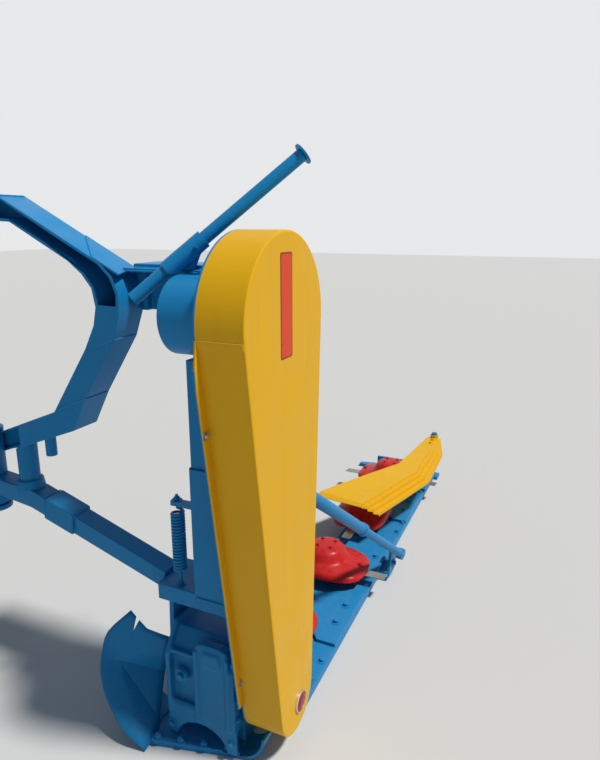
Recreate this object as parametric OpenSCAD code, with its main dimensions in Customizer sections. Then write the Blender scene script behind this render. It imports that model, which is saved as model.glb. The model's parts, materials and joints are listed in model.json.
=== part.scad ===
// Tractor-mounted rotary disc mower with four discs, parked on its cutterbar.
// X runs out along the cutterbar, Y forward in the direction of travel, Z up.
// Sizes are in millimetres. The numbers below place things from the driven
// pulley's axis (X), the belt guard's rear face (Y) and the ground (Z), and
// place() then moves the whole so that the input shaft's middle is the origin.

/* [Belt drive] */
// Height of the input shaft's axis
input_z = 1280; // [1200:5:1340]
// Distance of the input shaft inboard of the driven pulley
input_dx = 55; // [30:1:80]
// Height of the driven pulley, which is also the bar's lifting axis
pivot_z = 180; // [178:1:190]
// Radius of the guard round the input pulley
guard_r_top = 210; // [190:1:225]
// Radius of the guard round the driven pulley
guard_r_low = 103; // [95:1:105]
// Depth of the guard from its rear face
guard_d = 120; // [100:1:120]
// Sheet thickness of the guard
guard_t = 3; // [2:0.5:5]
// Width of the flange along the guard's sides
flange_w = 20; // [12:1:24]
// Radius of the cup round the input shaft
bell_r = 100; // [90:1:104]
// Length of the cup round the input shaft
bell_l = 175; // [150:1:180]
// Diameter of the input shaft
shaft_d = 34.9; // [30:0.1:40]

/* [Cutterbar] */
// Distance between neighbouring discs
disc_pitch = 500; // [490:1:510]
// Place of the first disc outboard of the lifting axis
disc_x0 = 318; // [314:1:340]
// Place of the discs forward of the guard's rear face
disc_y = 235; // [232:1:240]
// Radius of a disc
disc_r = 180; // [160:1:185]
// Width of a disc across its flat sides
disc_flat = 260; // [200:5:300]
// Radius that the knife tips sweep
knife_r = 265; // [255:1:268]
// Width of a knife
knife_w = 46; // [35:1:55]
// Thickness of a knife
knife_t = 4; // [3:0.5:5]
// Height of the knives above the ground
knife_z = 95; // [90:0.5:98]
// Height of the cutterbar's top face
bar_top = 48; // [40:1:50]
// Depth of the cutterbar from front to back
bar_d = 280; // [260:1:300]

/* [Frame] */
// Width of the bent frame arm
arm_w = 100; // [80:1:110]
// Wall of the box sections
wall = 8; // [5:0.5:12]
// Width of the upright box
column_w = 160; // [140:1:170]
// Depth of the upright box
column_d = 136; // [120:1:150]
// Height of the upright box's lower end
column_z = 500; // [480:5:540]
// Distance of the break-back axis forward of the guard's rear face
hinge_y = 1120; // [1110:1:1130]
// Diameter of the break-back pins
hinge_pin_d = 40; // [30:1:44]
// Diameter of the stay's outer tube
stay_d = 42; // [38:1:46]
// Diameter of the stay's inner rod
stay_rod_d = 32; // [26:1:34]
// Diameter of the parking leg
leg_d = 34; // [30:1:38]
// Length of the parking leg
leg_l = 556; // [480:2:600]

/* [Hitch] */
// Distance between the shoulders of the two lower pins
hitch_w = 825; // [800:1:840]
// Diameter of the lower hitch pins
hitch_pin_d = 28; // [22:0.5:30]
// Height of the lower hitch pins
hitch_z = 620; // [600:5:640]
// Height of the top link's bore above the lower pins
mast_h = 610; // [560:5:660]
// Diameter of the top link's bore
top_bore_d = 25.7; // [19:0.1:30]

/* [Hidden] */
$fn = 48;
SHAFT_Y = 250;
PLATE_T = 6;
GAP = 0.3;

// Frame of reference
input_x = -input_dx;
module place() translate([-input_x, -SHAFT_Y, -input_z]) children();

// A flat outline in X and Z, drawn solid from y0 forward to y1
module along_y(y0, y1) translate([0, y1, 0]) rotate([90, 0, 0]) linear_extrude(y1 - y0) children();
// A flat outline in Y and Z, drawn solid from x0 outboard to x1
module along_x(x0, x1) translate([x0, 0, 0]) rotate([90, 0, 90]) linear_extrude(x1 - x0) children();
// A flat outline in X and Y, drawn solid from z0 up to z1
module along_z(z0, z1) translate([0, 0, z0]) linear_extrude(z1 - z0) children();
// A round bar between two points
module bar(a, b, d) {
    v = b - a;
    translate(a) rotate([0, acos(v.z / norm(v)), atan2(v.y, v.x)]) cylinder(h = norm(v), d = d);
}
module box(lo, hi) translate(lo) cube(hi - lo);
// An outline moved inward by d, each corner along its mitre; corners run anticlockwise
function turn(v) = [-v.y, v.x] / norm(v);
function inset(pts, d) = let (n = len(pts)) [
    for (i = [0:n - 1]) let (
        a = turn(pts[i] - pts[(i + n - 1) % n]),
        b = turn(pts[(i + 1) % n] - pts[i])
    ) pts[i] + d * (a + b) / (1 + a * b)
];

// Belt guard: two rounds joined by their common tangents
plate_y = guard_d;
flange_top = 1200;
flange_low = 200;
module teardrop(grow) {
    lean = atan2(input_z - pivot_z, input_x);
    span = norm([input_x, input_z - pivot_z]);
    swing = asin((guard_r_top - guard_r_low) / span);
    up = [input_x, input_z];
    low = [0, pivot_z];
    n1 = lean - 90 - swing;
    n2 = lean + 90 + swing;
    translate(up) circle(guard_r_top + grow, $fn = 96);
    translate(low) circle(guard_r_low + grow, $fn = 64);
    polygon([
        low + (guard_r_low + grow) * [cos(n1), sin(n1)],
        up + (guard_r_top + grow) * [cos(n1), sin(n1)],
        up + (guard_r_top + grow) * [cos(n2), sin(n2)],
        low + (guard_r_low + grow) * [cos(n2), sin(n2)]
    ]);
}
module flange_shape() intersection() {
    teardrop(flange_w);
    translate([-500, flange_low]) square([1000, flange_top - flange_low]);
}
module belt_guard() color("gold") difference() {
    union() {
        along_y(0, guard_d - guard_t) teardrop(0);
        along_y(guard_d - guard_t, guard_d) union() {
            teardrop(0);
            flange_shape();
        }
    }
    along_y(guard_t, guard_d + 1) teardrop(-guard_t);
}
module back_plate() color("steelblue") difference() {
    along_y(plate_y, plate_y + PLATE_T) union() {
        teardrop(0);
        flange_shape();
    }
    // The lower round leaves room for the bar's journal
    translate([0, plate_y - 1, pivot_z]) rotate([-90, 0, 0]) cylinder(h = PLATE_T + 2, d = journal_d + 10);
}
reflector_r = 32;
module reflector() color("firebrick") translate([12, -GAP, 160]) rotate([90, 0, 0]) {
    cylinder(h = 6, r = reflector_r);
    cylinder(h = 9, r = reflector_r - 5);
}

// Input end
cup_y = plate_y + PLATE_T;
cup_t = 4;
module input_cup() color("steelblue") translate([input_x, cup_y, input_z]) rotate([-90, 0, 0]) difference() {
    cylinder(h = bell_l, r = bell_r);
    translate([0, 0, 30]) cylinder(h = bell_l, r = bell_r - cup_t);
    translate([0, 0, -1]) cylinder(h = 40, d = shaft_d + 12 + 0.1);
}
module input_shaft() color("silver") translate([input_x, cup_y + 6, input_z]) rotate([-90, 0, 0]) {
    cylinder(h = 40, d = shaft_d + 12);
    cylinder(h = 2 * (SHAFT_Y - cup_y - 46) + 40, d = shaft_d);
}

// Upright box, its offset head beside the cup, and the beam to the bent arm
column_x0 = -100;
column_y0 = plate_y + PLATE_T;
column_y1 = column_y0 + column_d;
column_top = input_z - bell_r - 6;
head_x0 = input_x + bell_r + 5;
head_w = 90;
head_top = input_z + 100;
head_outline = [
    [head_x0 - wall, 900], [column_x0 + column_w, 900], [head_x0 + head_w, 1060],
    [head_x0 + head_w, head_top], [head_x0, head_top], [head_x0, column_top], [head_x0 - wall, column_top]
];
module column() color("steelblue") {
    difference() {
        union() {
            box([column_x0, column_y0, column_z], [column_x0 + column_w, column_y1, column_top]);
            box([column_x0 - 4, column_y0, column_z], [column_x0 + column_w, column_y1 + 4, 880]);
            along_y(column_y0, column_y1) polygon(head_outline);
        }
        box([column_x0 + wall, column_y0 + wall, column_z - 1],
            [column_x0 + column_w - wall, column_y1 - wall, column_top - wall]);
        along_y(column_y0 + wall, column_y1 - wall) polygon(inset(head_outline, wall));
    }
}
beam_y1 = 600;
cover_x0 = -27;
cover_y0 = 250;
module top_beam() color("steelblue") {
    box([head_x0, column_y1, input_z - 10], [head_x0 + head_w, beam_y1, head_top]);
    box([arm_x1, 470, input_z - 10], [head_x0 + 1, beam_y1, head_top]);
    // Stacked cover plates
    box([cover_x0, cover_y0, head_top], [head_x0 + head_w, 500, head_top + 10]);
    box([cover_x0 + 20, cover_y0 + 10, head_top + 10], [head_x0 + head_w - 20, 480, head_top + 20]);
}

// Bent arm: one outline in Y and Z, mouth forward
arm_x0 = -70;
arm_x1 = arm_x0 + arm_w;
bush_r = 46;
arm_end = hinge_y;
arm_pts = [
    [arm_end, 1592], [885, 1580], [540, 1404], [503, 1370], [485, 1325], [487, 1268], [514, 1197],
    [632, 1020], [690, 915], [arm_end, 750], [arm_end, 820], [757, 965], [615, 1167], [578, 1235],
    [566, 1285], [575, 1335], [605, 1372], [650, 1406], [850, 1508], [arm_end, 1522]
];
module arm_outline() polygon(arm_pts);
// The lower arm's inboard side is cut back at a slant and shows its open end
open_y = [908, 1050];
open_x = 10;
module round_bushes() translate([hinge_x, hinge_y, lower_bush[0] - 1])
    cylinder(h = upper_bush[1] - lower_bush[0] + 2, r = bush_r);
module gooseneck() color("steelblue") difference() {
    along_x(arm_x0, arm_x1) arm_outline();
    along_x(arm_x0 + wall, arm_x1 - wall) polygon(inset(arm_pts, wall));
    along_z(lower_bush[1] - 120, lower_bush[1] + 120) polygon([
        [arm_x0 - 1, open_y[0]], [open_x, open_y[1]], [open_x, hinge_y], [arm_x0 - 1, hinge_y]
    ]);
    round_bushes();
}

// Break-back hinge
hinge_x = -20;
upper_bush = [1500, 1614];
lower_bush = [590, 830];
module bush(z) translate([hinge_x, hinge_y, z[0]]) difference() {
    cylinder(h = z[1] - z[0], r = bush_r);
    translate([0, 0, -1]) cylinder(h = z[1] - z[0] + 2, d = hinge_pin_d + 0.1);
}
module hinge_bushes() color("steelblue") {
    bush(upper_bush);
    bush(lower_bush);
}
ear_t = 16;
ear_gap = 6;
module ear(z) along_z(z, z + ear_t) difference() {
    union() {
        translate([hinge_x, hinge_y]) circle(bush_r + 4);
        polygon([
            [hinge_x - bush_r - 4, hinge_y], [hinge_x + bush_r + 4, hinge_y],
            [hinge_x + bush_r + 4, mast_y0], [hinge_x - bush_r - 60, mast_y0]
        ]);
    }
    translate([hinge_x, hinge_y]) circle(d = hinge_pin_d);
}
module hinge_ears() color("steelblue") {
    for (z = [upper_bush, lower_bush]) {
        ear(z[0] - ear_gap - ear_t);
        ear(z[1] + ear_gap);
    }
}
module hinge_pins() color("dimgray") for (z = [upper_bush, lower_bush]) {
    translate([hinge_x, hinge_y, z[0] - ear_gap - ear_t - 12])
        cylinder(h = z[1] - z[0] + 2 * (ear_gap + ear_t + 12), d = hinge_pin_d);
    translate([hinge_x, hinge_y, z[1] + ear_gap + ear_t]) cylinder(h = 12, r = hinge_pin_d / 2 + 10);
}

// Hitch frame: two legs from a lower cross tube to a mast head, and a hinge post
mast_y0 = hinge_y + 200;
post = 80;
hitch_cx = hinge_x + post / 2 - hitch_w / 2;
hitch_y = mast_y0 + post / 2;
mast_top = hitch_z + mast_h + 40;
hitch_x0 = hitch_cx - hitch_w / 2;
hitch_x1 = hitch_cx + hitch_w / 2;
post_x0 = hitch_x1 - 1.5 * post;
// The frame's tubes as outlines in X and Z, each drawn t inside its outer size
module hitch_outline(t) {
    translate([hitch_x0 - t, hitch_z - 40 + t]) square([hitch_w, post - 2 * t]);
    for (leg = [[-330, -30], [240, 30]]) polygon(inset([
        [hitch_cx + leg[0], hitch_z - t], [hitch_cx + leg[0] + 90, hitch_z - t],
        [hitch_cx + leg[1] + 45, mast_top], [hitch_cx + leg[1] - 45, mast_top]
    ], t));
    polygon([
        [post_x0, 1590 - t], [hitch_cx, mast_top - t], [hitch_cx, mast_top - 100 + t], [post_x0, 1490 + t]
    ]);
}
module hitch_frame() color("steelblue") difference() {
    along_y(mast_y0, mast_y0 + post) hitch_outline(0);
    along_y(mast_y0 + wall, mast_y0 + post - wall) hitch_outline(wall);
    hinge_post_space();
}
// Post that carries the hinge ears
module hinge_post_space() box([post_x0, mast_y0 - 1, lower_bush[0] - 60], [hitch_x1, mast_y0 + post + 1, upper_bush[1] + 60]);
module hinge_post() color("steelblue") difference() {
    box([post_x0, mast_y0, lower_bush[0] - 60], [hitch_x1, mast_y0 + post, upper_bush[1] + 60]);
    box([post_x0 + wall, mast_y0 + wall, 0], [hitch_x1 - wall, mast_y0 + post - wall, 2000]);
}
module hitch_pins() color("dimgray") for (s = [-1, 1])
    translate([hitch_cx + s * hitch_w / 2, hitch_y, hitch_z]) rotate([0, s * 90, 0]) {
        translate([-post / 2, -post / 2, 0]) cube([post, post, 10]);
        cylinder(h = 86, d = hitch_pin_d);
    }
clevis_gap = 56;
clevis_t = 14;
clevis_y = mast_y0 + post;
module top_clevis() color("steelblue") for (s = [-1, 1]) {
    x = hitch_cx + s * (clevis_gap + clevis_t) / 2;
    difference() {
        along_x(x - clevis_t / 2, x + clevis_t / 2) polygon([
            [clevis_y, hitch_z + mast_h - 80], [clevis_y, hitch_z + mast_h + 40],
            [clevis_y + 60, hitch_z + mast_h + 32], [clevis_y + 82, hitch_z + mast_h],
            [clevis_y + 60, hitch_z + mast_h - 32]
        ]);
        translate([x - clevis_t, clevis_y + 45, hitch_z + mast_h]) rotate([0, 90, 0])
            cylinder(h = 2 * clevis_t, d = top_bore_d);
    }
}

// Lower beam, its post up to the bent arm, and the balance spring
beam_w = 64;
beam_x0 = hinge_x - beam_w / 2;
module lower_beam() color("steelblue") difference() {
    union() {
        along_x(beam_x0, beam_x0 + beam_w) polygon([
            [fork_front[1], 456], [920, 617], [arm_end, 640], [arm_end, 696], [905, 676], [fork_front[1], 514]
        ]);
        // Boxed sleeve part of the way along
        along_x(beam_x0 - 5, beam_x0 + beam_w + 5)
            polygon([[750, 560], [860, 593], [850, 664], [740, 629]]);
    }
    round_bushes();
}
post_y = 945;
module beam_post() color("steelblue") {
    difference() {
        union() {
            translate([hinge_x, post_y, 670]) cylinder(h = 170, r = 32);
            translate([hinge_x, post_y, 670]) cylinder(h = 34, r1 = 46, r2 = 40);
        }
        translate([0, 0, -GAP]) along_x(arm_x0 - 5, arm_x1 + 5) arm_outline();
        along_x(beam_x0 - 9, beam_x0 + beam_w + 9) polygon([[880, 600], [arm_end, 600], [arm_end, 696], [905, 676], [880, 669]]);
    }
    // Short stub pipe under the arm
    difference() {
        translate([hinge_x, 838, 800]) cylinder(h = 90, r = 17);
        translate([0, 0, -GAP]) along_x(arm_x0 - 5, arm_x1 + 5) arm_outline();
        translate([hinge_x, 838, 790]) cylinder(h = 50, r = 12);
    }
}
spring_x = -62;
spring_y = 340;
spring_z = [546, 727];
spring_r = 20;
spring_turns = 13;
module balance_spring() color("steelblue") {
    pitch = (spring_z[1] - spring_z[0]) / spring_turns;
    translate([spring_x, spring_y, 0]) rotate_extrude() polygon(concat(
        [[6, spring_z[0]]],
        [for (i = [0:spring_turns - 1], k = [0, 1, 2, 3])
            [[spring_r - 3, spring_r, spring_r, spring_r - 3][k], spring_z[0] + (i + [0.02, 0.25, 0.75, 0.98][k]) * pitch]],
        [[6, spring_z[1]]]
    ));
    // Eyes, lug on the upright box and seat on the beam
    translate([spring_x, spring_y, spring_z[1] - 2]) cylinder(h = 34, r = 6);
    box([spring_x - 10, column_y1 + 4, spring_z[1] + 20], [spring_x + 10, spring_y + 16, spring_z[1] + 34]);
    translate([spring_x, spring_y, column_z - GAP]) cylinder(h = spring_z[0] - column_z + 2, r = 6);
}

// Fork that carries the bar's lifting axis
journal_d = 60;
fork_rear = [cup_y, cup_y + 12];
fork_front = [388, 404];
fork_r = 52;
module fork_plate(y) along_y(y[0], y[1]) difference() {
    union() {
        translate([0, pivot_z]) circle(fork_r);
        polygon([[-fork_r, pivot_z], [fork_r, pivot_z], [column_x0 + column_w, column_z - 50], [-fork_r + 12, column_z - 50]]);
    }
    translate([0, pivot_z]) circle(d = journal_d + 0.1);
}
module pivot_fork() color("steelblue") {
    fork_plate(fork_rear);
    fork_plate(fork_front);
    // Bridge between the two plates, under the upright box
    box([column_x0 + 12, fork_rear[0], column_z - 50], [column_x0 + column_w, fork_front[1], column_z - GAP]);
}

// Parking leg in its socket, stowed upward
leg_u = [0.458, -0.628, 0.628] / norm([0.458, -0.628, 0.628]);
leg_c = [-40, 290, 1428];
leg_low = leg_c - 172 * leg_u;
module leg_socket() color("steelblue") difference() {
    union() {
        bar(leg_c - 62 * leg_u, leg_c + 62 * leg_u, leg_d + 12);
        // Web that stands on the cover plate
        along_x(cover_x0 + 1, cover_x0 + 14) polygon([
            [278, head_top + 10], [316, head_top + 10], [306, head_top + 40], [276, head_top + 74], [254, head_top + 62]
        ]);
    }
    bar(leg_c - 90 * leg_u, leg_c + 90 * leg_u, leg_d + 1);
}
module parking_leg() color("steelblue") {
    difference() {
        bar(leg_low, leg_low + leg_l * leg_u, leg_d);
        bar(leg_low - leg_u, leg_low + 60 * leg_u, leg_d - 8);
    }
    bar(leg_low + leg_l * leg_u, leg_low + (leg_l + 6) * leg_u, 56);
}

// Stay between the upright box and the bar, opened at the rod's eye
stay_a = [178, 70, 740];
stay_b = [1003, -40, 111];
lift_max = 45;
stay_axis = cross(stay_b - stay_a, stay_lift(lift_max) - stay_a);
stay_n = stay_axis / norm(stay_axis);
stay_u = (stay_b - stay_a) / norm(stay_b - stay_a);
stay_l = norm(stay_b - stay_a);
function stay_lift(a) = [
    stay_b.x * cos(a) - (stay_b.z - pivot_z) * sin(a), stay_b.y,
    stay_b.x * sin(a) + (stay_b.z - pivot_z) * cos(a) + pivot_z
];
eye_r = 24;
eye_w = 26;
stay_pin_d = 24;
stay_min = norm(stay_lift(lift_max) - stay_a);
tube_l = stay_min - eye_r - 20;
rod_l = stay_min - eye_r - 30;
stay_pin_l = -8 - stay_b.y - 2.4;
module stay_lug() color("steelblue") {
    box([column_x0 + column_w, column_y0 + 2, stay_a.z - 34], [stay_a.x + 30, column_y0 + 16, stay_a.z + 34]);
    bar(stay_a + 14 * stay_n, stay_a - 60 * stay_n, stay_pin_d);
}
module stay_eye(c) difference() {
    bar(c - eye_w / 2 * stay_n, c + eye_w / 2 * stay_n, 2 * eye_r);
    bar(c - eye_w * stay_n, c + eye_w * stay_n, stay_pin_d + 0.1);
}
module stay_tube() color("steelblue") {
    stay_eye(stay_a);
    difference() {
        union() {
            bar(stay_a + (eye_r - 4) * stay_u, stay_a + tube_l * stay_u, stay_d);
            bar(stay_a + (tube_l - 20) * stay_u, stay_a + tube_l * stay_u, stay_d + 8);
        }
        bar(stay_a + 42 * stay_u, stay_a + (tube_l + 1) * stay_u, stay_rod_d + 0.1);
    }
}
module stay_rod() color("steelblue") {
    bar(stay_b - rod_l * stay_u, stay_b, stay_rod_d);
    bar(stay_b - eye_w / 2 * stay_n, stay_b + eye_w / 2 * stay_n, 2 * eye_r);
    bar(stay_b - stay_pin_l * stay_n, stay_b, stay_pin_d);
}
module stay_bracket() color("steelblue") {
    // Ear plate on the bar's rear edge
    along_y(-8, 4) polygon([
        [stay_b.x - 60, bar_top - 30], [stay_b.x + 60, bar_top - 30], [stay_b.x + 26, stay_b.z + 26],
        [stay_b.x - 26, stay_b.z + 26]
    ]);
    box([stay_b.x - 60, 4, bar_top - 30], [stay_b.x + 60, bar_y0, bar_top - 6]);
}

// Cutterbar: gearbox over a pedestal, skid, bar, discs, shoes
bar_y0 = 35;
bar_x0 = 60;
disc_n = 4;
function disc_x(i) = disc_x0 + i * disc_pitch;
bar_x1 = disc_x(disc_n - 1) + knife_r + 20;
function bar_outline(y0) = [
    [y0, 18], [y0 + 14, 5], [bar_y0 + bar_d - 30, 5], [bar_y0 + bar_d, 22],
    [bar_y0 + bar_d - 16, bar_top], [y0, bar_top]
];
module cutterbar() color("steelblue") {
    along_x(bar_x0, bar_x1) polygon(bar_outline(bar_y0));
    // Narrow root under the gearbox
    along_x(-10, bar_x0) polygon(bar_outline(gear_y[0]));
}
gear_x = 95;
gear_y = [142, 372];
gear_top = 380;
module gearbox() color("steelblue") {
    // Pedestal beside the knives' path
    box([-118, gear_y[0], shoe_t], [shoe_x[1], gear_y[1], 130]);
    // Cast case with a flange at each end
    along_y(gear_y[0], gear_y[1]) polygon([
        [-gear_x, 125], [gear_x, 125], [gear_x, 290], [60, gear_top - 20], [-60, gear_top - 20], [-gear_x, 310]
    ]);
    for (y = [gear_y[0], gear_y[1] - 16]) along_y(y, y + 16) polygon([
        [-gear_x - 25, 100], [gear_x, 125], [gear_x, 300], [66, gear_top - 6], [-66, gear_top - 6], [-gear_x - 25, 300]
    ]);
    // Raised bearing block and the ribs beside it
    along_x(-gear_x - 30, -gear_x) polygon([[155, 100], [272, 100], [272, 350], [258, 364], [168, 364], [155, 350]]);
    for (z = [150, 205, 260, 315]) box([-gear_x - 18, 150, z], [-gear_x, 366, z + 9]);
    for (y = [290, 325]) box([-gear_x - 18, y, 110], [-gear_x, y + 9, 320]);
}
module pivot_journals() color("dimgray") {
    translate([0, fork_rear[0] + 1, pivot_z]) rotate([-90, 0, 0]) cylinder(h = gear_y[0] - fork_rear[0] - 1, d = journal_d);
    translate([0, gear_y[1], pivot_z]) rotate([-90, 0, 0]) cylinder(h = fork_front[1] - gear_y[1] + 8, d = journal_d);
}
shoe_t = 20;
shoe_x = [-172, -10.3];
shoe_y1 = 425;
lip_x = -100;
lip_y = 60;
lip_r = 95;
lip_t = 8;
// Rear lip that curls up under the guard, and clears its lower round while the bar lifts
module rear_lip() difference() {
    intersection() {
        translate([lip_x, lip_y + lip_r, lip_r]) rotate([0, 90, 0]) cylinder(h = shoe_x[1] - lip_x, r = lip_r);
        box([lip_x, lip_y, 0], [shoe_x[1], lip_y + lip_r, lip_r]);
    }
    translate([lip_x - 1, lip_y + lip_r, lip_r]) rotate([0, 90, 0]) cylinder(h = 120, r = lip_r - lip_t);
    translate([0, 0, pivot_z]) rotate([-90, 0, 0]) cylinder(h = gear_y[0], r = guard_r_low + 8);
}
module inner_shoe() color("steelblue") {
    rear_lip();
    // Skid plate with a row of bolt holes along its outer edge
    difference() {
        along_z(0, shoe_t) polygon([
            [shoe_x[0], shoe_y1], [lip_x, gear_y[0]], [shoe_x[1], gear_y[0]], [shoe_x[1], shoe_y1]
        ]);
        for (i = [0:3]) translate([-152 + 17 * i, 390 - 70 * i, -1]) cylinder(h = shoe_t + 2, d = 13);
    }
    // Front toe that turns up
    along_x(shoe_x[0], shoe_x[1]) polygon([
        [shoe_y1 - 1, 0], [shoe_y1 + 15, 0], [shoe_y1 + 80, 42], [shoe_y1 + 80, 52],
        [shoe_y1 + 11, shoe_t], [shoe_y1 - 1, shoe_t]
    ]);
}
module crop_shield() color("steelblue") {
    pts = [
        [-216, 446, 14], [-178, 560, 62], [-128, 614, 180], [-40, 546, 330],
        [-12, 424, 275], [-66, 424, 180], [-126, 512, 60]
    ];
    // A bulging sheet, as three folded panels
    for (t = [[0, 1, 5], [1, 2, 5], [2, 3, 5], [3, 4, 5]]) hull()
        for (i = t) translate(pts[i]) sphere(4, $fn = 12);
    box([-118, gear_y[1], 60], [-100, 428, 150]);
}
module saddles() color("steelblue") for (i = [0:disc_n - 2]) {
    x = (disc_x(i) + disc_x(i + 1)) / 2;
    along_z(bar_top, bar_top + 14) difference() {
        translate([x - 170, bar_y0]) square([340, 220]);
        for (d = [disc_x(i), disc_x(i + 1)]) translate([d, disc_y]) circle(150, $fn = 64);
    }
}
module outer_shoe() color("steelblue") {
    along_z(0, 20) polygon([
        [bar_x1, 20], [bar_x1 + 70, 20], [bar_x1 + 70, 420], [bar_x1 + 50, 520], [bar_x1 + 20, 520], [bar_x1, 330]
    ]);
    box([bar_x1 + 10, 40, 20], [bar_x1 + 26, 400, 90]);
}
swing_x = bar_x1 + 48;
board_y = 60;
board_z = 250;
board_t = 3;
module divider_post() color("steelblue") {
    translate([swing_x, board_y, 20]) cylinder(h = board_z + 12, r = 16);
}
disc_h = 96;
module disc_hubs() color("steelblue") for (i = [0:disc_n - 1])
    translate([disc_x(i), disc_y, bar_top]) cylinder(h = knife_z + knife_t + 3 - bar_top - GAP, r = 62);
module rotor(i) color("firebrick") translate([disc_x(i), disc_y, knife_z + knife_t + 3]) rotate([0, 0, (i % 2) * 90]) {
    intersection() {
        rotate_extrude($fn = 96) polygon(concat(
            [[0, 0], [disc_r, 0]],
            [for (a = [0:15:90]) [disc_r - 60 + 60 * cos(a), 6 + 22 * sin(a)]],
            [for (a = [0:15:90]) [70 + 40 * cos(a), 34 + (disc_h - 34) * sin(a)]],
            [[0, disc_h]]
        ));
        translate([-disc_r - 1, -disc_flat / 2, -1]) cube([2 * disc_r + 2, disc_flat, disc_h + 2]);
    }
}
module knife_pair(i) color("silver") translate([disc_x(i), disc_y, knife_z]) rotate([0, 0, (i % 2) * 90])
    for (s = [0, 180]) rotate([0, 0, s]) {
        along_z(0, knife_t) polygon([
            [disc_r - 50, -knife_w / 2], [knife_r - 6, -knife_w / 2 + 4], [knife_r - 2, knife_w / 2], [disc_r - 50, knife_w / 2]
        ]);
        translate([disc_r - 30, 0, 0]) cylinder(h = knife_t + 3 - GAP, r = 12);
    }
module divider_board() color("gold") {
    difference() {
        union() {
            translate([swing_x, board_y, 0]) along_z(board_z, board_z + board_t) polygon([
                [-10, -40], [-230, -95], [-610, -100], [-1050, 26], [-1030, 100], [-1032, 256], [-970, 355],
                [-490, 90], [-10, 40]
            ]);
            translate([swing_x, board_y, board_z - 20]) cylinder(h = 40, r = 24);
        }
        translate([swing_x, board_y, board_z - 30]) cylinder(h = 80, r = 16.05);
    }
}

place() hitch_frame();
place() hinge_post();
place() hitch_pins();
place() top_clevis();
place() hinge_ears();
place() hinge_pins();
place() gooseneck();
place() hinge_bushes();
place() top_beam();
place() column();
place() back_plate();
place() belt_guard();
place() reflector();
place() input_cup();
place() lower_beam();
place() beam_post();
place() balance_spring();
place() pivot_fork();
place() leg_socket();
place() stay_lug();
place() input_shaft();
place() parking_leg();
place() gearbox();
place() pivot_journals();
place() inner_shoe();
place() crop_shield();
place() cutterbar();
place() saddles();
place() outer_shoe();
place() divider_post();
place() stay_bracket();
place() disc_hubs();
place() rotor(0);  // disc_1
place() rotor(1);  // disc_2
place() rotor(2);  // disc_3
place() rotor(3);  // disc_4
place() knife_pair(0);  // knives_1
place() knife_pair(1);  // knives_2
place() knife_pair(2);  // knives_3
place() knife_pair(3);  // knives_4
place() divider_board();
place() stay_tube();
place() stay_rod();
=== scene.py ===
"""Looks of a tractor-mounted rotary disc mower: paint, welds, bolts, sheet metal, camera and light."""
import json
import math
import random

import bmesh
import bpy
from mathutils import Matrix, Vector


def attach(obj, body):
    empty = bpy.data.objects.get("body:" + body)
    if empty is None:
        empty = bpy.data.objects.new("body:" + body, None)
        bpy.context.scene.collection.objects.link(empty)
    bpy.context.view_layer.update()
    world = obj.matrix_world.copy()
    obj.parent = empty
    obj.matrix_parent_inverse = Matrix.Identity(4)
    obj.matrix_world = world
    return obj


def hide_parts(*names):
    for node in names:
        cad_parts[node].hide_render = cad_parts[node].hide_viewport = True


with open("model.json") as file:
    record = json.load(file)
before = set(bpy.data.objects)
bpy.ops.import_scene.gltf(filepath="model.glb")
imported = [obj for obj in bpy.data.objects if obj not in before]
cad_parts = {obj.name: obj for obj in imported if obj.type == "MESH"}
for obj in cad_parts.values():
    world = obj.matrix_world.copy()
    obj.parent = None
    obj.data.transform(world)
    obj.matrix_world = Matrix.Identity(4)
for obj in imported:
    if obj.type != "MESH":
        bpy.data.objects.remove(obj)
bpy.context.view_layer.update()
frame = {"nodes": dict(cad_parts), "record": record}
NODES = frame["nodes"]
BODY_OF = {node: body for body, nodes in frame["record"]["behaviour"]["bodies"].items() for node in nodes}
SLOT_OF = {part["node"]: part["material_slot"] for part in frame["record"]["subparts"]}
chance = random.Random(11)

# Places below are measured, as in the part, from the driven pulley's axis (x),
# the belt guard's rear face (y) and the ground (z), in metres.
ORIGIN = Vector((-0.055, 0.250, 1.280))
GROUND = -ORIGIN.z
UP = (0, 0, 1)
FRONT = (0, 1, 0)
REAR = (0, -1, 0)
OUTBOARD = (1, 0, 0)
INBOARD = (-1, 0, 0)


def at(x, y, z):
    """A place given from the pulley's axis, the guard's face and the ground, in the part's frame."""
    return Vector((x, y, z)) - ORIGIN


def new_object(name, data):
    obj = bpy.data.objects.new(name, data)
    bpy.context.scene.collection.objects.link(obj)
    return obj


# Camera
CAMERA_PLACE = at(-1.318, -0.593, 1.500)
CAMERA_HEADING = 24.0
CAMERA_PITCH = 14.5
CAMERA_FOCAL_PX = 600.0
PICTURE_H_PX = 760
SENSOR_MM = 36.0
NEAREST = 0.02


def make_camera():
    data = bpy.data.cameras.new("camera")
    cam = new_object("camera", data)
    heading = math.radians(CAMERA_HEADING)
    pitch = math.radians(CAMERA_PITCH)
    level = math.cos(pitch)
    look = Vector((math.cos(heading) * level, math.sin(heading) * level, -math.sin(pitch)))
    cam.location = CAMERA_PLACE
    cam.rotation_euler = look.to_track_quat("-Z", "Y").to_euler()
    data.sensor_fit = "VERTICAL"
    data.sensor_height = SENSOR_MM
    data.lens = SENSOR_MM * CAMERA_FOCAL_PX / PICTURE_H_PX
    data.clip_start = NEAREST
    bpy.context.scene.camera = cam


# Materials
def new_material(name):
    mat = bpy.data.materials.new(name)
    mat.use_nodes = True
    return mat, mat.node_tree.nodes["Principled BSDF"]


def add_node(beside, kind):
    """A shader node in the same tree as another node or socket."""
    return beside.id_data.nodes.new("ShaderNode" + kind)


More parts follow.
